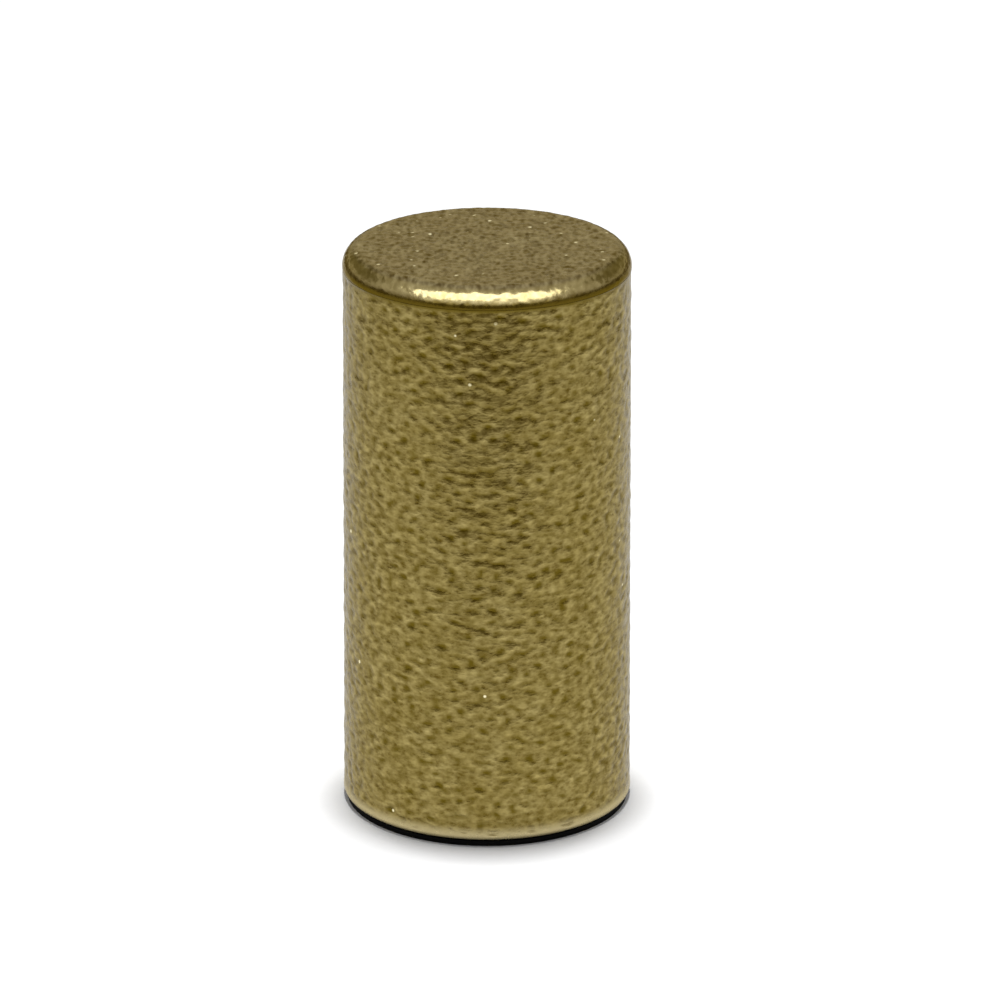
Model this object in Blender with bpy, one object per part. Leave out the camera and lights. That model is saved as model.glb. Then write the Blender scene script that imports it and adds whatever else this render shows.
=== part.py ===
"""Push-out mold for pillar candles: a hammered brass tube on a rubber base plug, closed by a brass cap.

The part stands on the plug's flange at z = 0, with its axis on +Z. Wax is poured with the cap off, and
the pin that stands on the plug leaves the wick's channel. Sizes are in metres.
"""

import math

import bmesh
import bpy

MM = 0.001

# Outside form
FOOT_RADIUS = 38.0 * MM
DRAFT = 0.8 * MM  # how much smaller the outside radius is at the cap than at the foot
METAL_HEIGHT = 150.0 * MM  # from the tube's foot to the top of the cap
SHOULDER_RADIUS = 5.0 * MM
FOOT_EDGE_RADIUS = 1.2 * MM
TUBE_WALL = 1.6 * MM

# Clearances
GAP = 0.3 * MM  # between pieces that seat on or slide in each other
TIP_PLAY = 0.8 * MM  # above the pin's tip, so that the cap always seats
KNOB_FLOOR_GAP = 1.2 * MM  # under the knob, so that the flange alone stands on the table

# Joint line of cap and tube
CAP_LAND = 0.3 * MM  # straight edge under the shoulder
LINE_CHAMFER = 0.3 * MM

# Cap
CAP_TOP = 2.0 * MM
CAP_INNER_FILLET = 2.0 * MM
SPIGOT_LENGTH = 10.0 * MM
SPIGOT_WALL = 3.6 * MM
SPIGOT_LEAD = 1.0 * MM  # chamfer that guides the spigot into the tube
SEAL_GROOVE_DEPTH = 2.0 * MM
SEAL_DROP = 5.0 * MM  # from the tube's upper edge down to the middle of the seal

# Centring boss
BOSS_RADIUS = 5.5 * MM
BOSS_LENGTH = 11.0 * MM
BOSS_FLANGE_RADIUS = 11.0 * MM
BOSS_FLANGE = 1.6 * MM
SOCKET_DEPTH = 8.0 * MM
SOCKET_LEAD = 1.2 * MM

# Wick pin
PIN_FOOT_RADIUS = 2.5 * MM
PIN_TIP_RADIUS = 2.0 * MM
PIN_POINT = 1.5 * MM  # length of the rounded point
COLLAR_RADIUS = 5.0 * MM
COLLAR_HEIGHT = 2.0 * MM
TAIL_RADIUS = 2.0 * MM

# Base plug and what is clamped to it
FLANGE_THICKNESS = 1.4 * MM
FLANGE_INSET = 0.9 * MM  # how far the flange stays inside the tube's foot
RIB_COUNT = 2
RIB_HEIGHT = 2.6 * MM
RIB_RELIEF = 1.0 * MM  # how far the plug's body lies inside its ribs
PLUG_WEB = 6.0 * MM  # rubber between the underside recess and the base plate
PLUG_LIP = 5.0 * MM  # rubber rim round the base plate
PLUG_LEAD = 1.0 * MM  # chamfer at the plug's upper edge
FINGER_ROOM = 13.0 * MM  # from the washer to the wall of the recess
RECESS_FILLET = 2.0 * MM
PLATE_THICKNESS = 1.5 * MM
PLATE_CHAMFER = 0.4 * MM
WASHER_RADIUS = 10.0 * MM
WASHER_THICKNESS = 1.2 * MM
KNOB_RADIUS = 8.0 * MM
KNOB_HEIGHT = 8.5 * MM
KNOB_EDGE = 0.8 * MM
KNOB_FACE = 2.0 * MM  # metal left under the knob's blind thread
FLUTES = 12
FLUTE_DEPTH = 0.7 * MM

# Facets
LARGE_SIDES = 64
SMALL_SIDES = 32
KNOB_SIDES = 6 * FLUTES
ARC_STEPS = 6
RING_STEPS = 10
SMOOTH_UNDER = math.radians(40)

# Heights, from the table up
FOOT_Z = FLANGE_THICKNESS + GAP
TOP_Z = FOOT_Z + METAL_HEIGHT
LINE_Z = TOP_Z - SHOULDER_RADIUS - CAP_LAND
TUBE_TOP_Z = LINE_Z - GAP
CAP_UNDER_Z = TOP_Z - CAP_TOP
SPIGOT_END_Z = TUBE_TOP_Z - SPIGOT_LENGTH
SEAL_Z = TUBE_TOP_Z - SEAL_DROP
KNOB_TOP_Z = KNOB_FLOOR_GAP + KNOB_HEIGHT
WASHER_Z = KNOB_TOP_Z + GAP
RECESS_Z = WASHER_Z + WASHER_THICKNESS + GAP
WEB_TOP_Z = RECESS_Z + PLUG_WEB
PLATE_Z = WEB_TOP_Z + GAP
PLUG_TOP_Z = PLATE_Z + PLATE_THICKNESS
COLLAR_Z = PLUG_TOP_Z + GAP
SHAFT_Z = COLLAR_Z + COLLAR_HEIGHT
TAIL_END_Z = KNOB_FLOOR_GAP + KNOB_FACE + GAP
BOSS_TOP_Z = CAP_UNDER_Z - GAP
BOSS_END_Z = BOSS_TOP_Z - BOSS_LENGTH
SOCKET_TOP_Z = BOSS_END_Z + SOCKET_DEPTH
TIP_Z = SOCKET_TOP_Z - TIP_PLAY


def outside_radius(z):
    return FOOT_RADIUS - DRAFT * (z - FOOT_Z) / (LINE_Z - FOOT_Z)


def bore_radius(z):
    return outside_radius(z) - TUBE_WALL


def pin_radius(z):
    return PIN_FOOT_RADIUS + (PIN_TIP_RADIUS - PIN_FOOT_RADIUS) * (z - SHAFT_Z) / (TIP_Z - SHAFT_Z)


CAP_RADIUS = outside_radius(LINE_Z)
SPIGOT_RADIUS = bore_radius(TUBE_TOP_Z) - GAP
SEAL_OUTER = bore_radius(TUBE_TOP_Z) - GAP
SEAL_INNER = SPIGOT_RADIUS - SEAL_GROOVE_DEPTH + GAP
SEAL_SECTION = (SEAL_OUTER - SEAL_INNER) / 2
SOCKET_RADIUS = pin_radius(BOSS_END_Z) + GAP
PLUG_RADIUS = bore_radius(PLUG_TOP_Z) - GAP - RIB_RELIEF
PLATE_RADIUS = PLUG_RADIUS - PLUG_LIP - GAP
TAIL_HOLE = TAIL_RADIUS + GAP
RECESS_RADIUS = WASHER_RADIUS + FINGER_ROOM


def arc(radius, centre_r, centre_z, start, end, steps=ARC_STEPS):
    """Points of a round corner, with angles in degrees from +r towards +z."""
    angles = [math.radians(start + (end - start) * i / steps) for i in range(steps + 1)]
    return [(centre_r + radius * math.cos(a), centre_z + radius * math.sin(a)) for a in angles]


def material(name, colour, roughness, metallic):
    made = bpy.data.materials.new(name)
    made.use_nodes = True
    shader = made.node_tree.nodes["Principled BSDF"]
    shader.inputs["Base Color"].default_value = (*colour, 1.0)
    shader.inputs["Roughness"].default_value = roughness
    shader.inputs["Metallic"].default_value = metallic
    return made


def turned(name, profile, sides, finish, parent, closed=False):
    """A turned piece: the profile of (radius, height) points spun about Z, with its origin at its lowest point."""
    base_z = min(z for _, z in profile)
    shape = bmesh.new()
    points = [shape.verts.new((r, 0.0, z - base_z)) for r, z in profile]
    pairs = list(zip(points, points[1:]))
    if closed:
        pairs.append((points[-1], points[0]))
    edges = [shape.edges.new(pair) for pair in pairs]
    bmesh.ops.spin(
        shape, geom=points + edges, cent=(0, 0, 0), axis=(0, 0, 1), angle=math.tau, steps=sides, use_merge=True
    )
    bmesh.ops.remove_doubles(shape, verts=shape.verts[:], dist=MM / 1000)
    bmesh.ops.recalc_face_normals(shape, faces=shape.faces[:])
    mesh = bpy.data.meshes.new(name)
    shape.to_mesh(mesh)
    shape.free()
    mesh.shade_smooth()
    mesh.set_sharp_from_angle(angle=SMOOTH_UNDER)
    mesh.materials.append(finish)
    piece = bpy.data.objects.new(name, mesh)
    piece.location.z = base_z
    piece.parent = parent
    bpy.context.scene.collection.objects.link(piece)
    return piece


def mold_tube(finish, parent):
    """Open tube with draft, rounded at the foot and chamfered where the cap meets it."""
    edge = min(FOOT_EDGE_RADIUS, TUBE_WALL * 0.8)
    foot_edge_z = FOOT_Z + edge
    inner_edge = TUBE_WALL * 0.15
    profile = [
        (bore_radius(TUBE_TOP_Z), TUBE_TOP_Z),
        (outside_radius(TUBE_TOP_Z) - LINE_CHAMFER, TUBE_TOP_Z),
        (outside_radius(TUBE_TOP_Z), TUBE_TOP_Z - LINE_CHAMFER),
    ]
    profile += arc(edge, outside_radius(foot_edge_z) - edge, foot_edge_z, 0, -90)
    profile += [
        (bore_radius(FOOT_Z) + inner_edge, FOOT_Z),
        (bore_radius(FOOT_Z + inner_edge), FOOT_Z + inner_edge),
    ]
    return turned("mold_tube", profile, LARGE_SIDES, finish, parent, closed=True)


def end_cap(finish, parent):
    """Cap with a round shoulder, a spigot that enters the tube and a groove for the seal."""
    groove = SEAL_SECTION + GAP
    groove_radius = SPIGOT_RADIUS - SEAL_GROOVE_DEPTH
    inner_radius = SPIGOT_RADIUS - SPIGOT_WALL
    profile = [(0.0, TOP_Z)]
    profile += arc(SHOULDER_RADIUS, CAP_RADIUS - SHOULDER_RADIUS, TOP_Z - SHOULDER_RADIUS, 90, 0)
    profile += [
        (CAP_RADIUS, LINE_Z + LINE_CHAMFER),
        (CAP_RADIUS - LINE_CHAMFER, LINE_Z),
        (SPIGOT_RADIUS, LINE_Z),
        (SPIGOT_RADIUS, SEAL_Z + groove),
        (groove_radius, SEAL_Z + groove),
        (groove_radius, SEAL_Z - groove),
        (SPIGOT_RADIUS, SEAL_Z - groove),
        (SPIGOT_RADIUS, SPIGOT_END_Z + SPIGOT_LEAD),
        (SPIGOT_RADIUS - SPIGOT_LEAD, SPIGOT_END_Z),
        (inner_radius, SPIGOT_END_Z),
    ]
    profile += arc(CAP_INNER_FILLET, inner_radius - CAP_INNER_FILLET, CAP_UNDER_Z - CAP_INNER_FILLET, 0, 90)
    profile.append((0.0, CAP_UNDER_Z))
    return turned("end_cap", profile, LARGE_SIDES, finish, parent)


def cap_seal(finish, parent):
    """Round silicone ring in the spigot's groove."""
    profile = arc(SEAL_SECTION, SEAL_INNER + SEAL_SECTION, SEAL_Z, 180, -180, RING_STEPS)[:-1]
    return turned("cap_seal", profile, LARGE_SIDES, finish, parent, closed=True)


def centring_boss(finish, parent):
    """Flanged boss under the cap, with a blind socket that opens wider for the pin's tip."""
    flange_end_z = BOSS_TOP_Z - BOSS_FLANGE
    profile = [
        (0.0, BOSS_TOP_Z),
        (BOSS_FLANGE_RADIUS, BOSS_TOP_Z),
        (BOSS_FLANGE_RADIUS, flange_end_z),
        (BOSS_RADIUS, flange_end_z),
        (BOSS_RADIUS, BOSS_END_Z),
        (SOCKET_RADIUS + SOCKET_LEAD, BOSS_END_Z),
        (SOCKET_RADIUS, BOSS_END_Z + SOCKET_LEAD),
        (SOCKET_RADIUS, SOCKET_TOP_Z),
        (0.0, SOCKET_TOP_Z),
    ]
    return turned("centring_boss", profile, SMALL_SIDES, finish, parent)


def wick_pin(finish, parent):
    """Tapered pin with a collar that seats on the base plate and a tail for the knob."""
    point_z = TIP_Z - PIN_POINT
    point_radius = pin_radius(point_z)
    point = [
        (point_radius * math.sin(a), point_z + PIN_POINT * math.cos(a))
        for a in [math.pi / 2 * i / ARC_STEPS for i in range(ARC_STEPS + 1)]
    ]
    profile = point + [
        (pin_radius(SHAFT_Z), SHAFT_Z),
        (COLLAR_RADIUS, SHAFT_Z),
        (COLLAR_RADIUS, COLLAR_Z),
        (TAIL_RADIUS, COLLAR_Z),
        (TAIL_RADIUS, TAIL_END_Z),
        (0.0, TAIL_END_Z),
    ]
    profile[0] = (0.0, TIP_Z)
    return turned("wick_pin", profile, SMALL_SIDES, finish, parent)


def rib_points(middle_z):
    """A round sealing rib, from its upper to its lower edge, that reaches out to the tube's bore."""
    reach = bore_radius(middle_z) - GAP - PLUG_RADIUS
    angles = [math.pi * i / ARC_STEPS for i in range(ARC_STEPS + 1)]
    return [(PLUG_RADIUS + reach * math.sin(a), middle_z + RIB_HEIGHT / 2 * math.cos(a)) for a in angles]


def base_plug(finish, parent):
    """Rubber stopper: ribs seal in the bore, the flange carries the tube, and the recess takes the knob."""
    seat_radius = PLATE_RADIUS + GAP
    flange_radius = FOOT_RADIUS - FLANGE_INSET
    rib_pitch = (PLUG_TOP_Z - FLANGE_THICKNESS) / (RIB_COUNT + 1)
    profile = [
        (TAIL_HOLE, WEB_TOP_Z),
        (seat_radius, WEB_TOP_Z),
        (seat_radius, PLUG_TOP_Z),
        (PLUG_RADIUS - PLUG_LEAD, PLUG_TOP_Z),
        (PLUG_RADIUS, PLUG_TOP_Z - PLUG_LEAD),
    ]
    for i in range(RIB_COUNT):
        profile += rib_points(PLUG_TOP_Z - rib_pitch * (i + 1))
    profile += [
        (PLUG_RADIUS, FLANGE_THICKNESS),
        (flange_radius, FLANGE_THICKNESS),
        (flange_radius, 0.0),
        (RECESS_RADIUS, 0.0),
    ]
    profile += arc(RECESS_FILLET, RECESS_RADIUS - RECESS_FILLET, RECESS_Z - RECESS_FILLET, 0, 90)
    profile.append((TAIL_HOLE, RECESS_Z))
    return turned("base_plug", profile, LARGE_SIDES, finish, parent, closed=True)


def base_plate(finish, parent):
    """Steel disc let into the plug, with an eased upper edge."""
    profile = [
        (TAIL_HOLE, PLUG_TOP_Z),
        (PLATE_RADIUS - PLATE_CHAMFER, PLUG_TOP_Z),
        (PLATE_RADIUS, PLUG_TOP_Z - PLATE_CHAMFER),
        (PLATE_RADIUS, PLATE_Z),
        (TAIL_HOLE, PLATE_Z),
    ]
    return turned("base_plate", profile, LARGE_SIDES, finish, parent, closed=True)


def plug_washer(finish, parent):
    profile = [
        (TAIL_HOLE, WASHER_Z + WASHER_THICKNESS),
        (WASHER_RADIUS, WASHER_Z + WASHER_THICKNESS),
        (WASHER_RADIUS, WASHER_Z),
        (TAIL_HOLE, WASHER_Z),
    ]
    return turned("plug_washer", profile, SMALL_SIDES, finish, parent, closed=True)


def pull_knob(finish, parent):
    """Round nut with a blind bore for the tail and a fluted rim to grip."""
    profile = [
        (0.0, TAIL_END_Z - GAP),
        (TAIL_HOLE, TAIL_END_Z - GAP),
        (TAIL_HOLE, KNOB_TOP_Z),
        (KNOB_RADIUS - KNOB_EDGE, KNOB_TOP_Z),
        (KNOB_RADIUS, KNOB_TOP_Z - KNOB_EDGE),
        (KNOB_RADIUS, KNOB_FLOOR_GAP + KNOB_EDGE),
        (KNOB_RADIUS - KNOB_EDGE, KNOB_FLOOR_GAP),
        (0.0, KNOB_FLOOR_GAP),
    ]
    knob = turned("pull_knob", profile, KNOB_SIDES, finish, parent)
    for point in knob.data.vertices:
        radius = math.hypot(point.co.x, point.co.y)
        if radius > KNOB_RADIUS - KNOB_EDGE / 2:
            angle = math.atan2(point.co.y, point.co.x)
            shrink = 1 - FLUTE_DEPTH / 2 * (1 - math.cos(FLUTES * angle)) / radius
            point.co.x *= shrink
            point.co.y *= shrink
    return knob


def axis_empty(name, height, parent=None):
    """A frame on the mold's axis that carries the pieces of one moving group."""
    empty = bpy.data.objects.new(name, None)
    empty.location.z = height - (parent.location.z if parent else 0.0)
    empty.empty_display_size = FOOT_RADIUS
    empty.parent = parent
    bpy.context.scene.collection.objects.link(empty)
    return empty


def drop_onto(piece, frame_z):
    """Keeps a piece at its own height under a frame that stands at frame_z."""
    piece.location.z -= frame_z


def build():
    for old in list(bpy.data.objects):
        bpy.data.objects.remove(old, do_unlink=True)
    brass = material("brass_hammered", (0.30, 0.23, 0.075), 0.38, 1.0)
    cap_brass = material("brass_turned", (0.31, 0.24, 0.08), 0.34, 1.0)
    fitting_brass = material("brass_fitting", (0.42, 0.31, 0.12), 0.30, 1.0)
    steel = material("steel_ground", (0.55, 0.55, 0.56), 0.28, 1.0)
    black_rubber = material("rubber_black", (0.012, 0.011, 0.010), 0.75, 0.0)
    silicone = material("silicone_grey", (0.10, 0.09, 0.08), 0.55, 0.0)
    base_axis = axis_empty("base_axis", 0.0)
    tube_axis = axis_empty("tube_axis", FOOT_Z, base_axis)
    cap_axis = axis_empty("cap_axis", LINE_Z, tube_axis)
    knob_axis = axis_empty("knob_axis", KNOB_TOP_Z, base_axis)
    base_plug(black_rubber, base_axis)
    base_plate(steel, base_axis)
    plug_washer(steel, base_axis)
    wick_pin(steel, base_axis)
    drop_onto(mold_tube(brass, tube_axis), FOOT_Z)
    for piece in (
        end_cap(cap_brass, cap_axis),
        cap_seal(silicone, cap_axis),
        centring_boss(fitting_brass, cap_axis),
    ):
        drop_onto(piece, LINE_Z)
    drop_onto(pull_knob(fitting_brass, knob_axis), KNOB_TOP_Z)


build()
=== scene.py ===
"""Looks of the candle mold: hammered brass tube, grained cap, black rubber base, studio table and light."""

import math

import bpy
import numpy as np
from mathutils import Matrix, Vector


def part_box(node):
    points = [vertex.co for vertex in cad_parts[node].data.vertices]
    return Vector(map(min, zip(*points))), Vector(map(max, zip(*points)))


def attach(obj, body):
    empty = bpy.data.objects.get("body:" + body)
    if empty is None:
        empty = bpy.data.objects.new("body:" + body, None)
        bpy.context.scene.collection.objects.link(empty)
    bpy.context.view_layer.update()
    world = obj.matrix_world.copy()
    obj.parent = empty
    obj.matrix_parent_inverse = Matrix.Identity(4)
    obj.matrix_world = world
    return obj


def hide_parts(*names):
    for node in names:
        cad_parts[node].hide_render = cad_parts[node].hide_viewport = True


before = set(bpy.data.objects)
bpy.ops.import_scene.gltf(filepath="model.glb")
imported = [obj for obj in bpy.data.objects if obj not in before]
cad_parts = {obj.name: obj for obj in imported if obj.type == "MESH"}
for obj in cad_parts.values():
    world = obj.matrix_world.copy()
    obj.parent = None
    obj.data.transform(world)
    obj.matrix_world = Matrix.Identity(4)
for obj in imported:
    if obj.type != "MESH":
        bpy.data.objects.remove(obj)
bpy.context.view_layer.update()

MM = 0.001

# Sizes read from the frame
TUBE_LOW, TUBE_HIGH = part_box("mold_tube")
CAP_LOW, CAP_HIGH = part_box("end_cap")
FOOT_Z = TUBE_LOW.z
TUBE_TOP_Z = TUBE_HIGH.z
TOP_Z = CAP_HIGH.z
SPIGOT_END_Z = CAP_LOW.z
FOOT_RADIUS = TUBE_HIGH.x
CAP_RADIUS = CAP_HIGH.x

# Sizes shared with the solids
GAP = 0.3 * MM
TUBE_WALL = 1.6 * MM
FOOT_EDGE = 1.2 * MM
BORE_CHAMFER = 0.3 * MM
SHOULDER_RADIUS = 5.0 * MM
CAP_TOP = 2.0 * MM
CAP_FILLET = 2.0 * MM
SPIGOT_WALL = 3.6 * MM
SPIGOT_LEAD = 1.0 * MM
SEAL_GROOVE = 2.0 * MM
LINE_Z = TUBE_TOP_Z + GAP
SPIGOT_RADIUS = CAP_RADIUS - TUBE_WALL - GAP

# Turned skins stay sharp at edges above this angle
SHARP_EDGE = math.radians(50)

# Relief of the hammered side
SIDE_SEED = 11
SIDE_COLUMNS = 320
SIDE_ROW = 0.5 * MM
BORE_ROWS = 12
FOOT_STEPS = 8
DENT_WIDTH = 4.6 * MM  # from one dent to the next round the tube
DENT_HEIGHT = 2.9 * MM
DENT_DEPTH = 0.245 * MM
DENT_SHARPNESS = 0.65  # near 0 the dents are even waves, at 1 they are narrow pits
DENT_LIMITS = (-3.0, 2.0)  # in standard deviations
RIPPLE_WIDTH = 10.0 * MM
RIPPLE_HEIGHT = 6.0 * MM
RIPPLE_DEPTH = 0.045 * MM
RIPPLE_CREST = 2.5  # in standard deviations, where the ripple's crests are cut off
PLAIN_FOOT = 1.6 * MM  # turned band that the hammer leaves plain
PLAIN_TOP = 0.25 * MM
FOOT_WEAR_AND_SHEEN = 3.0 * MM  # height of the pale foot band: wear from handling, and painted sheen of the bright table
JOINT_PATINA_AND_SHADE = 1.6 * MM  # height of the dark band under the cap: patina, and painted shade
JOINT_GAP = 0.05 * MM  # hairline that the eye sees where the cap sits on the tube
JOINT_EDGE = 0.04 * MM

# Relief of the grained cap, with its zones counted from where the flat meets the shoulder
CAP_SEED = 23
CAP_COLUMNS = 360
CAP_ROW = 0.36 * MM
CAP_CELL = 0.35 * MM
SHOULDER_STEPS = 28
FILLET_STEPS = 8
CAP_GRAIN = 2.6 * MM
CAP_GRAIN_DEPTH = 0.08 * MM
CAP_GRAIN_CREST = 2.0  # in standard deviations, where the grain's crests are cut off
GRAIN_FADE = (-1.5 * MM, 1.2 * MM)  # where the grain gets shallower
GRAIN_LOST = 0.65  # share of its depth that it loses there
RUBBED_ZONE = (2.0 * MM, 3.4 * MM)  # where the shoulder turns smooth
RUBBED_SHARE = 0.5  # how smooth it gets, against 1 for the turned spigot
RIM_ZONE = (5.7 * MM, 7.5 * MM)  # where patina and painted shade darken the shoulder above the joint

# Sizes of the patterns in the finishes
WEAR_PATCH = 7.0 * MM
SIDE_GRAIN = 2.0 * MM
SIDE_GRAIN_DEPTH = 0.19 * MM
SIDE_GRAIN_SQUEEZE = (1.0, 1.0, 1.7)  # the marks are wider than tall
SIDE_GLINT = 12.0 * MM  # from one painted glint to the next
TARNISH_PATCH = 14.0 * MM
CAP_ETCH = 1.4 * MM  # coarser than real etching, so that it shows
CAP_ETCH_DEPTH = 0.10 * MM
CAP_ETCH_SQUEEZE = (1.0, 0.5, 1.0)  # the marks are longer from front to back than across
# spacing of the painted glints on the cap
CAP_GLINT = 5.0 * MM
LATHE_WAVE = 6.0 * MM  # draws a ring each 1.9 mm; real ones are about 0.2 mm apart and wouldn't show
LATHE_DEPTH = 0.02 * MM
LATHE_PATCH = 5.0 * MM
BLOOM_PATCH = 9.0 * MM
PEBBLE = 0.5 * MM  # coarser than the real 0.1 mm, so that it shows
PEBBLE_DEPTH = 0.03 * MM
PAPER_FIBRE = 3.0 * MM  # coarser than real fibre, so that it shows

# Camera, fitted to the photograph's outline
CAMERA_DISTANCE = 40 * CAP_RADIUS
CAMERA_ELEVATION = math.radians(20.23)
CAMERA_LENS = 205.2
CAMERA_SENSOR = 36.0
CENTRE_PIXEL = (487.0, 519.5)
FRAME_PIXELS = 1000
AIM_Z = (FOOT_Z + TOP_Z) / 2

# Table and what the metal mirrors, in metres, and in degrees from the front
TURN_STEP = 4
TABLE_RADIUS = 0.95
DARK_CARD_NEAR = 0.43
DARK_CARD_FURTHER = 0.57  # how much further away it is at the sides and back
DARK_CARD_TOP = 0.20
WALL_ANGLES = np.arange(105, 161, 5)
WALL_REACH = 1.3
WALL_LOW = 0.35
WALL_TOP = 1.2

# Lamps, in metres; a softbox in front has its name, degrees above the cap, depth and radiance
ROOM_FILL = 0.33  # the room's light on matt surfaces, against 1 where it is seen or mirrored
OVERHEAD_PLACE = (0, 0.14, 4.0)
OVERHEAD_SIDE = 0.40
OVERHEAD_RADIANCE = 280.0
FRONT_REACH = 0.8
FRONT_WIDTH = 1.75
FRONT_SOFTBOXES = [("front_softbox", 51.0, 0.56, 7.4), ("front_softbox_foot", 16.0, 0.50, 1.9)]


def linear(hex_colour):
    """Linear RGBA of an sRGB hex colour."""
    channels = [int(hex_colour[i : i + 2], 16) / 255 for i in (1, 3, 5)]
    return (*[c / 12.92 if c <= 0.04045 else ((c + 0.055) / 1.055) ** 2.4 for c in channels], 1.0)


def add_node(tree, kind, inputs, **settings):
    """Adds a node with its settings; an input is a value, or a socket to link."""
    node = tree.nodes.new(kind)
    for name, value in settings.items():
        setattr(node, name, value)
    for name, value in inputs.items():
        if isinstance(value, bpy.types.NodeSocket):
            tree.links.new(value, node.inputs[name])
        else:
            node.inputs[name].default_value = value
    return node


def new_material(name):
    """An empty material and its Principled shader."""
    made = bpy.data.materials.new(name)
    made.use_nodes = True
    return made, made.node_tree, made.node_tree.nodes["Principled BSDF"]


# Indexes of a Mix node's colour sockets
MIX_A, MIX_B, MIX_OUT = 6, 7, 2


def hammered_brass():
    """Aged brass, planished with a small hammer: patina in the dents, painted shade in the grain and at the
    joint, painted glints, and a foot pale from wear and painted sheen.
    """
    made, tree, shader = new_material("hammered_aged_brass")
    place = add_node(tree, "ShaderNodeTexCoord", {}).outputs["Object"]
    flattened = add_node(tree, "ShaderNodeMapping", {"Vector": place, "Scale": SIDE_GRAIN_SQUEEZE})
    dent = add_node(tree, "ShaderNodeAttribute", {}, attribute_name="dent_patina_and_joint_shade").outputs["Fac"]
    foot = add_node(tree, "ShaderNodeAttribute", {}, attribute_name="foot_wear_and_sheen").outputs["Fac"]
    hammered = add_node(tree, "ShaderNodeAttribute", {}, attribute_name="hammered_share").outputs["Fac"]
    cloud = add_node(tree, "ShaderNodeTexNoise", {"Vector": place, "Scale": 1 / WEAR_PATCH, "Detail": 3.0})
    grain = add_node(
        tree,
        "ShaderNodeTexNoise",
        {"Vector": flattened.outputs["Vector"], "Scale": 1 / SIDE_GRAIN, "Detail": 2.0},
    )
    wear = add_node(
        tree,
        "ShaderNodeMapRange",
        {"Value": cloud.outputs["Fac"], "From Min": 0.3, "From Max": 0.7},
    )
    # grain tone; the grain's hollows are darker as painted shade
    crease = add_node(
        tree,
        "ShaderNodeMapRange",
        {"Value": grain.outputs["Fac"], "From Min": 0.25, "From Max": 0.75},
    )
    rubbed = add_node(
        tree,
        "ShaderNodeMix",
        {"Factor": wear.outputs["Result"], MIX_A: linear("#AC9A5C"), MIX_B: linear("#BBAA6E")},
        data_type="RGBA",
    )
    grain_tone_and_shade = add_node(
        tree,
        "ShaderNodeMix",
        {"Factor": crease.outputs["Result"], MIX_A: linear("#5F4E1C"), MIX_B: rubbed.outputs[MIX_OUT]},
        data_type="RGBA",
    )
    # patina in the dents, and painted shade along the joint
    patina_and_shade = add_node(
        tree,
        "ShaderNodeMix",
        {"Factor": dent, MIX_A: grain_tone_and_shade.outputs[MIX_OUT], MIX_B: linear("#625216")},
        data_type="RGBA",
    )
    # painted glints: small cream spots in the colour stand for highlights
    glint_spot = add_node(tree, "ShaderNodeTexVoronoi", {"Vector": place, "Scale": 1 / SIDE_GLINT})
    glint = add_node(
        tree,
        "ShaderNodeMapRange",
        {
            "Value": glint_spot.outputs["Distance"],
            "From Min": 0.03,
            "From Max": 0.045,
            "To Min": 1.0,
            "To Max": 0.0,
        },
    )
    painted_glints = add_node(
        tree,
        "ShaderNodeMix",
        {"Factor": glint.outputs["Result"], MIX_A: patina_and_shade.outputs[MIX_OUT], MIX_B: linear("#F5EBC0")},
        data_type="RGBA",
    )
    bore = add_node(tree, "ShaderNodeAttribute", {}, attribute_name="bore_share").outputs["Fac"]
    bored = add_node(
        tree,
        "ShaderNodeMix",
        {"Factor": bore, MIX_A: painted_glints.outputs[MIX_OUT], MIX_B: linear("#CDB676")},
        data_type="RGBA",
    )
    # pale foot: wear, and painted sheen of the bright table
    colour = add_node(
        tree,
        "ShaderNodeMix",
        {"Factor": foot, MIX_A: bored.outputs[MIX_OUT], MIX_B: linear("#BCAE82")},
        data_type="RGBA",
    )
    gloss = add_node(
        tree,
        "ShaderNodeMapRange",
        {"Value": grain.outputs["Fac"], "From Min": 0.3, "From Max": 0.7, "To Min": 0.25, "To Max": 0.36},
    )
    gloss = add_node(
        tree,
        "ShaderNodeMapRange",
        {"Value": bore, "To Min": gloss.outputs["Result"], "To Max": 0.5},
    )
    bump = add_node(
        tree,
        "ShaderNodeBump",
        {"Height": grain.outputs["Fac"], "Strength": hammered, "Distance": SIDE_GRAIN_DEPTH},
    )
    shader.inputs["Metallic"].default_value = 1.0
    shader.inputs["Specular Tint"].default_value = linear("#EBE9E4")
    tree.links.new(colour.outputs[MIX_OUT], shader.inputs["Base Color"])
    tree.links.new(gloss.outputs["Result"], shader.inputs["Roughness"])
    tree.links.new(bump.outputs["Normal"], shader.inputs["Normal"])
    return made


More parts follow.
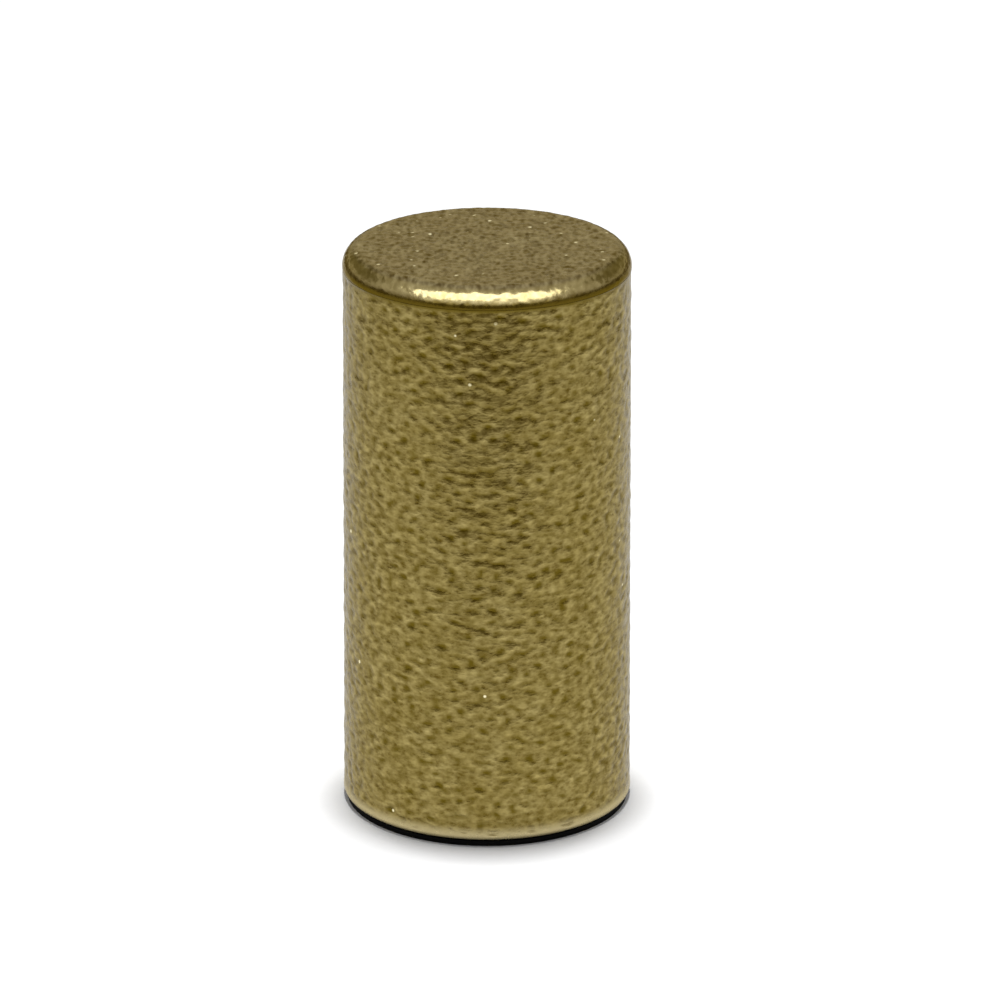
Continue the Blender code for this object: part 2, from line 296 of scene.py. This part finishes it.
def grained_brass():
    """Turned brass, etched to a fine grain with painted shade in its hollows and painted glints; the rubbed
    shoulder shines.
    """
    made, tree, shader = new_material("grained_turned_brass")
    place = add_node(tree, "ShaderNodeTexCoord", {}).outputs["Object"]
    shoulder = add_node(tree, "ShaderNodeAttribute", {}, attribute_name="smooth_share").outputs["Fac"]
    cloud = add_node(
        tree,
        "ShaderNodeTexNoise",
        {"Vector": place, "Scale": 1 / TARNISH_PATCH, "Detail": 3.0},
    )
    drawn_out = add_node(tree, "ShaderNodeMapping", {"Vector": place, "Scale": CAP_ETCH_SQUEEZE})
    grain = add_node(
        tree,
        "ShaderNodeTexNoise",
        {"Vector": drawn_out.outputs["Vector"], "Scale": 1 / CAP_ETCH, "Detail": 1.0},
    )
    tarnish = add_node(
        tree,
        "ShaderNodeMapRange",
        {"Value": cloud.outputs["Fac"], "From Min": 0.3, "From Max": 0.7},
    )
    # etched grain tone; the grain's hollows are darker as painted shade
    lit = add_node(
        tree,
        "ShaderNodeMapRange",
        {"Value": grain.outputs["Fac"], "From Min": 0.25, "From Max": 0.80},
    )
    rubbed = add_node(
        tree,
        "ShaderNodeMix",
        {"Factor": tarnish.outputs["Result"], MIX_A: linear("#8E7F5B"), MIX_B: linear("#9D906A")},
        data_type="RGBA",
    )
    etched_tone_and_shade = add_node(
        tree,
        "ShaderNodeMix",
        {"Factor": lit.outputs["Result"], MIX_A: linear("#4D3E1F"), MIX_B: rubbed.outputs[MIX_OUT]},
        data_type="RGBA",
    )
    # painted glints: cream spots in the cap's colour stand for highlights
    glint_spot = add_node(tree, "ShaderNodeTexVoronoi", {"Vector": place, "Scale": 1 / CAP_GLINT})
    glint = add_node(
        tree,
        "ShaderNodeMapRange",
        {
            "Value": glint_spot.outputs["Distance"],
            "From Min": 0.06,
            "From Max": 0.12,
            "To Min": 0.8,
            "To Max": 0.0,
        },
    )
    flat = add_node(
        tree,
        "ShaderNodeMix",
        {"Factor": glint.outputs["Result"], MIX_A: etched_tone_and_shade.outputs[MIX_OUT], MIX_B: linear("#F5EBC0")},
        data_type="RGBA",
    )
    rubbed_round = add_node(
        tree,
        "ShaderNodeMix",
        {"Factor": shoulder, MIX_A: flat.outputs[MIX_OUT], MIX_B: linear("#978755")},
        data_type="RGBA",
    )
    # dark rim above the joint: patina, and painted shade
    joint = add_node(tree, "ShaderNodeAttribute", {}, attribute_name="joint_patina_and_shade").outputs["Fac"]
    base = add_node(
        tree,
        "ShaderNodeMix",
        {"Factor": joint, MIX_A: rubbed_round.outputs[MIX_OUT], MIX_B: linear("#584814")},
        data_type="RGBA",
    )
    satin = add_node(
        tree,
        "ShaderNodeMapRange",
        {"Value": grain.outputs["Fac"], "From Min": 0.3, "From Max": 0.7, "To Min": 0.22, "To Max": 0.32},
    )
    gloss = add_node(
        tree,
        "ShaderNodeMapRange",
        {"Value": shoulder, "To Min": satin.outputs["Result"], "To Max": 0.16},
    )
    etched = add_node(
        tree,
        "ShaderNodeMapRange",
        {"Value": shoulder, "From Min": RUBBED_SHARE, "From Max": 1.0, "To Min": 1.0, "To Max": 0.12},
    )
    bump = add_node(
        tree,
        "ShaderNodeBump",
        {"Height": grain.outputs["Fac"], "Strength": etched.outputs["Result"], "Distance": CAP_ETCH_DEPTH},
    )
    shader.inputs["Metallic"].default_value = 1.0
    shader.inputs["Specular Tint"].default_value = linear("#DFD5BC")
    tree.links.new(base.outputs[MIX_OUT], shader.inputs["Base Color"])
    tree.links.new(gloss.outputs["Result"], shader.inputs["Roughness"])
    tree.links.new(bump.outputs["Normal"], shader.inputs["Normal"])
    return made


def turned_metal(name, pale, dark, roughness):
    """Lathe-turned metal: fine rings round the axis draw the highlight out sideways."""
    made, tree, shader = new_material(name)
    place = add_node(tree, "ShaderNodeTexCoord", {}).outputs["Object"]
    rings = add_node(
        tree,
        "ShaderNodeTexWave",
        {"Vector": place, "Scale": 1 / LATHE_WAVE, "Distortion": 0.6, "Detail": 2.0, "Detail Scale": 3.0},
        bands_direction="Z",
    )
    cloud = add_node(tree, "ShaderNodeTexNoise", {"Vector": place, "Scale": 1 / LATHE_PATCH, "Detail": 4.0})
    colour = add_node(
        tree,
        "ShaderNodeMix",
        {"Factor": cloud.outputs["Fac"], MIX_A: linear(dark), MIX_B: linear(pale)},
        data_type="RGBA",
    )
    gloss = add_node(
        tree,
        "ShaderNodeMapRange",
        {"Value": cloud.outputs["Fac"], "To Min": roughness - 0.08, "To Max": roughness + 0.08},
    )
    bump = add_node(
        tree,
        "ShaderNodeBump",
        {"Height": rings.outputs["Fac"], "Strength": 0.25, "Distance": LATHE_DEPTH},
    )
    shader.inputs["Metallic"].default_value = 1.0
    tree.links.new(colour.outputs[MIX_OUT], shader.inputs["Base Color"])
    tree.links.new(gloss.outputs["Result"], shader.inputs["Roughness"])
    tree.links.new(bump.outputs["Normal"], shader.inputs["Normal"])
    return made


def moulded_rubber(name, pale, dark):
    """Moulded rubber: dull, with a faint bloom in patches and the fine pebble of a blasted mould."""
    made, tree, shader = new_material(name)
    place = add_node(tree, "ShaderNodeTexCoord", {}).outputs["Object"]
    bloom = add_node(tree, "ShaderNodeTexNoise", {"Vector": place, "Scale": 1 / BLOOM_PATCH, "Detail": 4.0})
    pebble = add_node(tree, "ShaderNodeTexNoise", {"Vector": place, "Scale": 1 / PEBBLE, "Detail": 2.0})
    colour = add_node(
        tree,
        "ShaderNodeMix",
        {"Factor": bloom.outputs["Fac"], MIX_A: linear(dark), MIX_B: linear(pale)},
        data_type="RGBA",
    )
    gloss = add_node(
        tree,
        "ShaderNodeMapRange",
        {"Value": bloom.outputs["Fac"], "To Min": 0.62, "To Max": 0.85},
    )
    bump = add_node(
        tree,
        "ShaderNodeBump",
        {"Height": pebble.outputs["Fac"], "Strength": 0.4, "Distance": PEBBLE_DEPTH},
    )
    shader.inputs["Specular IOR Level"].default_value = 0.08
    tree.links.new(colour.outputs[MIX_OUT], shader.inputs["Base Color"])
    tree.links.new(gloss.outputs["Result"], shader.inputs["Roughness"])
    tree.links.new(bump.outputs["Normal"], shader.inputs["Normal"])
    return made


def banded_noise(rng, shape, spacing, grain, spread=0.45):
    """Random relief of one grain size on a grid that closes on itself, with a standard deviation of 1."""
    waves = [np.fft.fftfreq(n, step) * size for n, step, size in zip(shape, spacing, grain)]
    count = np.hypot(waves[0][:, None], waves[1][None, :])
    band = np.exp(-(((count - 1) / spread) ** 2))
    field = np.fft.ifft2(np.fft.fft2(rng.standard_normal(shape)) * band).real
    return field / field.std()


def smooth_step(value, low, high):
    """Share from 0 at low to 1 at high, with soft ends."""
    share = np.clip((value - low) / (high - low), 0, 1)
    return share * share * (3 - 2 * share)


def arc(radius, centre_r, centre_z, start, end, steps):
    """Points of a round corner, with angles in degrees from +r towards +z."""
    angles = np.radians(np.linspace(start, end, steps + 1))
    return [(centre_r + radius * math.cos(a), centre_z + radius * math.sin(a)) for a in angles]


def turned_skin(name, profile, columns, sink, closed):
    """A turned mesh from (radius, height) rows, each point sunk along the profile's normal."""
    rows = np.array(profile)
    along = np.roll(rows, -1, axis=0) - np.roll(rows, 1, axis=0)
    if not closed:
        along[0], along[-1] = rows[1] - rows[0], rows[-1] - rows[-2]
    along /= np.linalg.norm(along, axis=1)[:, None]
    normal = np.stack([-along[:, 1], along[:, 0]], axis=1)
    angle = np.arange(columns) * math.tau / columns
    radius = rows[:, :1] - normal[:, :1] * sink
    height = rows[:, 1:] - normal[:, 1:] * sink
    points = np.stack([radius * np.cos(angle), radius * np.sin(angle), height], axis=2).reshape(-1, 3)
    row_count = len(rows)
    first = np.arange(row_count if closed else row_count - 1)
    here = (first[:, None] * columns + np.arange(columns)).ravel()
    right = (first[:, None] * columns + (np.arange(columns) + 1) % columns).ravel()
    next_row = (first + 1) % row_count
    below = (next_row[:, None] * columns + np.arange(columns)).ravel()
    below_right = (next_row[:, None] * columns + (np.arange(columns) + 1) % columns).ravel()
    faces = np.stack([here, below, below_right, right], axis=1).tolist()
    if not closed:
        faces.append(list(range(columns)))
        faces.append(list(range((row_count - 1) * columns, row_count * columns))[::-1])
    mesh = bpy.data.meshes.new(name)
    mesh.from_pydata(points.tolist(), [], faces)
    mesh.shade_smooth()
    mesh.set_sharp_from_angle(angle=SHARP_EDGE)
    piece = bpy.data.objects.new(name, mesh)
    bpy.context.scene.collection.objects.link(piece)
    return piece


def mark(piece, name, share):
    """Gives each point of a skin a value that its finish reads."""
    attribute = piece.data.attributes.new(name, "FLOAT", "POINT")
    attribute.data.foreach_set("value", share.ravel().astype(np.float32))


def outside_radius(z):
    """Radius of the tube's tapered outside at a height."""
    return FOOT_RADIUS + (CAP_RADIUS - FOOT_RADIUS) * (z - FOOT_Z) / (LINE_Z - FOOT_Z)


def hammered_tube():
    """The tube with its dents, plain at the joint line and along the foot."""
    upper_z = TUBE_TOP_Z - JOINT_EDGE
    lower_z = FOOT_Z + FOOT_EDGE
    side_rows = round((upper_z - lower_z) / SIDE_ROW)
    side_z = np.linspace(upper_z, lower_z, side_rows + 1)
    bore_z = np.linspace(FOOT_Z + BORE_CHAMFER, TUBE_TOP_Z, BORE_ROWS)
    profile = [(CAP_RADIUS - JOINT_EDGE, TUBE_TOP_Z)]
    profile += [(outside_radius(z), z) for z in side_z]
    profile += arc(FOOT_EDGE, outside_radius(lower_z) - FOOT_EDGE, lower_z, 0, -90, FOOT_STEPS)[1:]
    profile += [(outside_radius(FOOT_Z) - TUBE_WALL + BORE_CHAMFER, FOOT_Z)]
    profile += [(outside_radius(z) - TUBE_WALL, z) for z in bore_z]
    rng = np.random.default_rng(SIDE_SEED)
    shape = (side_rows + 1, SIDE_COLUMNS)
    spacing = (SIDE_ROW, math.tau * FOOT_RADIUS / SIDE_COLUMNS)
    blows = np.clip(banded_noise(rng, shape, spacing, (DENT_HEIGHT, DENT_WIDTH)), *DENT_LIMITS)
    dents = np.exp(DENT_SHARPNESS * blows)
    dents /= math.exp(DENT_SHARPNESS * DENT_LIMITS[1])
    ripple = banded_noise(rng, shape, spacing, (RIPPLE_HEIGHT, RIPPLE_WIDTH))
    plain = smooth_step(side_z, FOOT_Z + FOOT_EDGE, FOOT_Z + PLAIN_FOOT + FOOT_EDGE)
    plain *= 1 - smooth_step(side_z, upper_z - PLAIN_TOP, upper_z)
    sink = np.zeros((len(profile), SIDE_COLUMNS))
    depth = dents * DENT_DEPTH + (ripple + RIPPLE_CREST).clip(0) * RIPPLE_DEPTH
    sink[1 : side_rows + 2] = depth * plain[:, None]
    piece = turned_skin("tube_skin", profile, SIDE_COLUMNS, sink, closed=True)
    shade = np.zeros_like(sink)
    # dark band under the cap: patina, and painted shade
    joint = smooth_step(side_z, upper_z - JOINT_PATINA_AND_SHADE, upper_z)
    shade[1 : side_rows + 2] = np.maximum(dents * plain[:, None], joint[:, None])
    mark(piece, "dent_patina_and_joint_shade", shade)
    hammered = np.zeros(len(profile))
    hammered[1 : side_rows + 2] = plain
    mark(piece, "hammered_share", np.repeat(hammered, SIDE_COLUMNS))
    bore = np.zeros(len(profile))
    bore[-BORE_ROWS:] = 1
    mark(piece, "bore_share", np.repeat(bore, SIDE_COLUMNS))
    height = np.array(profile)[:, 1]
    # pale foot band: wear, and painted sheen of the bright table
    wear = 1 - smooth_step(height, FOOT_Z + FOOT_EDGE, FOOT_Z + FOOT_EDGE + FOOT_WEAR_AND_SHEEN)
    mark(piece, "foot_wear_and_sheen", np.repeat(wear, SIDE_COLUMNS))
    return piece


def grained_cap():
    """The cap: grained flat, smooth shoulder, spigot with its groove, hollow underside."""
    flat_radius = CAP_RADIUS - SHOULDER_RADIUS
    flat_rows = round(flat_radius / CAP_ROW)
    seal_low, seal_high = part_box("cap_seal")
    groove_radius = SPIGOT_RADIUS - SEAL_GROOVE
    inner_radius = SPIGOT_RADIUS - SPIGOT_WALL
    under_z = TOP_Z - CAP_TOP
    profile = [(r, TOP_Z) for r in np.linspace(CAP_ROW, flat_radius, flat_rows)]
    profile += arc(SHOULDER_RADIUS, flat_radius, TOP_Z - SHOULDER_RADIUS, 90, 0, SHOULDER_STEPS)[1:]
    top_rows = len(profile)
    rim_z = TUBE_TOP_Z + JOINT_GAP
    profile += [
        (CAP_RADIUS, rim_z + JOINT_EDGE),
        (CAP_RADIUS - JOINT_EDGE, rim_z),
        (SPIGOT_RADIUS, rim_z),
        (SPIGOT_RADIUS, seal_high.z + GAP),
        (groove_radius, seal_high.z + GAP),
        (groove_radius, seal_low.z - GAP),
        (SPIGOT_RADIUS, seal_low.z - GAP),
        (SPIGOT_RADIUS, SPIGOT_END_Z + SPIGOT_LEAD),
        (SPIGOT_RADIUS - SPIGOT_LEAD, SPIGOT_END_Z),
        (inner_radius, SPIGOT_END_Z),
    ]
    profile += arc(CAP_FILLET, inner_radius - CAP_FILLET, under_z - CAP_FILLET, 0, 90, FILLET_STEPS)
    profile += [(CAP_ROW, under_z)]
    rows = np.array(profile[:top_rows])
    steps = np.hypot(*np.diff(rows, axis=0).T)
    reach = np.concatenate([[rows[0, 0]], rows[0, 0] + np.cumsum(steps)])
    rng = np.random.default_rng(CAP_SEED)
    side = 2 * math.ceil(reach[-1] / CAP_CELL) + 4  # with a margin of two cells
    field = banded_noise(rng, (side, side), (CAP_CELL, CAP_CELL), (CAP_GRAIN, CAP_GRAIN))
    angle = np.arange(CAP_COLUMNS) * math.tau / CAP_COLUMNS
    across = reach[:, None] * np.cos(angle) / CAP_CELL + side / 2
    along = reach[:, None] * np.sin(angle) / CAP_CELL + side / 2
    column = np.floor(across).astype(int)
    row = np.floor(along).astype(int)
    u = across - column
    v = along - row
    grain = (field[row, column] * (1 - u) + field[row, column + 1] * u) * (1 - v)
    grain += (field[row + 1, column] * (1 - u) + field[row + 1, column + 1] * u) * v
    past_flat = reach - flat_radius
    rubbed = smooth_step(past_flat, *RUBBED_ZONE)
    rim = smooth_step(past_flat, *RIM_ZONE)
    grain_share = (1 - GRAIN_LOST * smooth_step(past_flat, *GRAIN_FADE)) * (1 - rim)
    sink = np.zeros((len(profile), CAP_COLUMNS))
    sink[:top_rows] = (grain + CAP_GRAIN_CREST).clip(0) * CAP_GRAIN_DEPTH * grain_share[:, None]
    piece = turned_skin("cap_skin", profile, CAP_COLUMNS, sink, closed=False)
    smooth_share = np.ones(len(profile))
    smooth_share[:top_rows] = RUBBED_SHARE * rubbed * (1 - rim)
    smooth_share[top_rows : top_rows + 2] = 0
    mark(piece, "smooth_share", np.repeat(smooth_share, CAP_COLUMNS))
    # dark rim above the joint: patina, and painted shade
    patina_and_shade = np.zeros(len(profile))
    patina_and_shade[:top_rows] = rim
    patina_and_shade[top_rows : top_rows + 2] = 1
    mark(piece, "joint_patina_and_shade", np.repeat(patina_and_shade, CAP_COLUMNS))
    return piece


def dress():
    """Puts the skins on their bodies and the finishes on the solids that stay."""
    tube = hammered_tube()
    tube.data.materials.append(hammered_brass())
    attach(tube, "tube")
    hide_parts("mold_tube")
    cap = grained_cap()
    cap.data.materials.append(grained_brass())
    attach(cap, "cap")
    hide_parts("end_cap")
    fitting = turned_metal("turned_bright_brass", "#C2A565", "#8F7536", 0.32)
    steel = turned_metal("ground_steel", "#C4C4C6", "#9A9A9D", 0.30)
    rubber = moulded_rubber("moulded_black_rubber", "#0B0A0A", "#050505")
    silicone = moulded_rubber("moulded_grey_silicone", "#5B5752", "#46423E")
    finishes = {
        "cap_seal": silicone,
        "centring_boss": fitting,
        "pull_knob": fitting,
        "base_plug": rubber,
        "base_plate": steel,
        "wick_pin": steel,
        "plug_washer": steel,
    }
    for node, finish in finishes.items():
        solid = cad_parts[node]
        solid.data.materials.clear()
        solid.data.materials.append(finish)


def panel(name, corners, faces):
    """A stage panel that isn't part of the mold."""
    mesh = bpy.data.meshes.new(name)
    mesh.from_pydata(corners, [], faces)
    made = bpy.data.objects.new(name, mesh)
    bpy.context.scene.collection.objects.link(made)
    return made


def white_table():
    """Seamless white paper: matt, with the faintest fibre."""
    turn = np.radians(np.arange(0, 360, TURN_STEP))
    corners = [(TABLE_RADIUS * math.cos(a), TABLE_RADIUS * math.sin(a), 0) for a in turn]
    floor = panel("table", corners, [tuple(range(len(corners)))])
    made, tree, shader = new_material("white_paper")
    place = add_node(tree, "ShaderNodeTexCoord", {}).outputs["Object"]
    fibre = add_node(tree, "ShaderNodeTexNoise", {"Vector": place, "Scale": 1 / PAPER_FIBRE, "Detail": 3.0})
    colour = add_node(
        tree,
        "ShaderNodeMix",
        {"Factor": fibre.outputs["Fac"], MIX_A: linear("#F8F8F8"), MIX_B: linear("#FCFCFC")},
        data_type="RGBA",
    )
    tree.links.new(colour.outputs[MIX_OUT], shader.inputs["Base Color"])
    shader.inputs["Roughness"].default_value = 0.9
    shader.inputs["Specular IOR Level"].default_value = 0.1
    floor.data.materials.append(made)


def reflected_card(name, colour, angles, reach, low, top):
    """A card bent round the mold that shows in reflections alone, at the brightness of its colour."""
    ring = [(r * math.sin(a), -r * math.cos(a)) for r, a in zip(reach, angles)]
    count = len(ring)
    corners = [(x, y, low) for x, y in ring] + [(x, y, top) for x, y in ring]
    made = panel(name, corners, [(i, i + 1, count + i + 1, count + i) for i in range(count - 1)])
    finish, _, shader = new_material(name)
    shader.inputs["Base Color"].default_value = linear("#000000")
    shader.inputs["Specular IOR Level"].default_value = 0.0
    shader.inputs["Emission Color"].default_value = linear(colour)
    shader.inputs["Emission Strength"].default_value = 1.0
    made.data.materials.append(finish)
    made.visible_camera = False
    made.visible_diffuse = False
    made.visible_shadow = False


def reflected_room():
    """What the metal mirrors: a low dark card all round, nearest in front, and grey walls further back."""
    turn = np.radians(np.arange(0, 361, TURN_STEP))
    beside = smooth_step(1 - np.cos(turn), 0, 0.5)  # 1 from 60 degrees on
    reach = DARK_CARD_NEAR + DARK_CARD_FURTHER * beside
    reflected_card("dark_card", "#84784A", turn, reach, 0.0, DARK_CARD_TOP)
    for side in (1, -1):
        wall = side * np.radians(WALL_ANGLES)
        reflected_card("grey_wall", "#A8A27C", wall, np.full(len(wall), WALL_REACH), WALL_LOW, WALL_TOP)


def softbox(name, place, target, width, depth, radiance):
    """A rectangular lamp of a given brightness, aimed at a point."""
    lamp = bpy.data.lights.new(name, "AREA")
    lamp.shape = "RECTANGLE"
    lamp.size = width
    lamp.size_y = depth
    lamp.energy = radiance * math.pi * width * depth
    holder = bpy.data.objects.new(name, lamp)
    bpy.context.scene.collection.objects.link(holder)
    holder.location = place
    holder.rotation_euler = (Vector(target) - Vector(place)).to_track_quat("-Z", "Y").to_euler()
    holder.visible_camera = False
    return holder


def studio_light():
    """White room, a high softbox for the shadow, and two softboxes in front that only the cap mirrors."""
    world = bpy.data.worlds.new("white_room")
    bpy.context.scene.world = world
    world.use_nodes = True
    tree = world.node_tree
    background = tree.nodes["Background"]
    path = add_node(tree, "ShaderNodeLightPath", {})
    seen = add_node(
        tree,
        "ShaderNodeMath",
        {0: path.outputs["Is Camera Ray"], 1: path.outputs["Is Glossy Ray"]},
        operation="MAXIMUM",
    )
    seen = add_node(
        tree,
        "ShaderNodeMath",
        {0: seen.outputs[0], 1: path.outputs["Is Transmission Ray"]},
        operation="MAXIMUM",
    )
    strength = add_node(
        tree,
        "ShaderNodeMapRange",
        {"Value": seen.outputs[0], "To Min": ROOM_FILL, "To Max": 1.0},
    )
    tree.links.new(strength.outputs["Result"], background.inputs["Strength"])
    colour = add_node(
        tree,
        "ShaderNodeMix",
        {"Factor": seen.outputs[0], MIX_A: linear("#F2F6FF"), MIX_B: linear("#FFFFFF")},
        data_type="RGBA",
    )
    tree.links.new(colour.outputs[MIX_OUT], background.inputs["Color"])
    cap_centre = (0, 0, TOP_Z)
    overhead = softbox(
        "overhead_softbox", OVERHEAD_PLACE, (0, 0, 0), OVERHEAD_SIDE, OVERHEAD_SIDE, OVERHEAD_RADIANCE
    )
    overhead.visible_glossy = False
    on_cap = bpy.data.collections.new("softbox_on_cap")
    on_cap.objects.link(bpy.data.objects["cap_skin"])
    for name, rise, depth, radiance in FRONT_SOFTBOXES:
        across = FRONT_REACH * math.cos(math.radians(rise))
        up = FRONT_REACH * math.sin(math.radians(rise))
        front = softbox(name, (0, -across, TOP_Z + up), cap_centre, FRONT_WIDTH, depth, radiance)
        front.data.color = linear("#DCE6FF")[:3]
        front.visible_diffuse = False
        front.light_linking.receiver_collection = on_cap


def photo_camera():
    """A long lens at the photograph's height and distance, shifted to its framing."""
    lens = bpy.data.cameras.new("photo_camera")
    lens.sensor_width = CAMERA_SENSOR
    lens.lens = CAMERA_LENS
    lens.shift_x = (FRAME_PIXELS / 2 - CENTRE_PIXEL[0]) / FRAME_PIXELS
    lens.shift_y = (CENTRE_PIXEL[1] - FRAME_PIXELS / 2) / FRAME_PIXELS
    camera = bpy.data.objects.new("photo_camera", lens)
    bpy.context.scene.collection.objects.link(camera)
    back = CAMERA_DISTANCE * math.cos(CAMERA_ELEVATION)
    camera.location = (0, -back, AIM_Z + CAMERA_DISTANCE * math.sin(CAMERA_ELEVATION))
    camera.rotation_euler = (math.pi / 2 - CAMERA_ELEVATION, 0, 0)
    bpy.context.scene.camera = camera


dress()
white_table()
reflected_room()
studio_light()
photo_camera()
bpy.context.scene.view_settings.view_transform = "Standard"
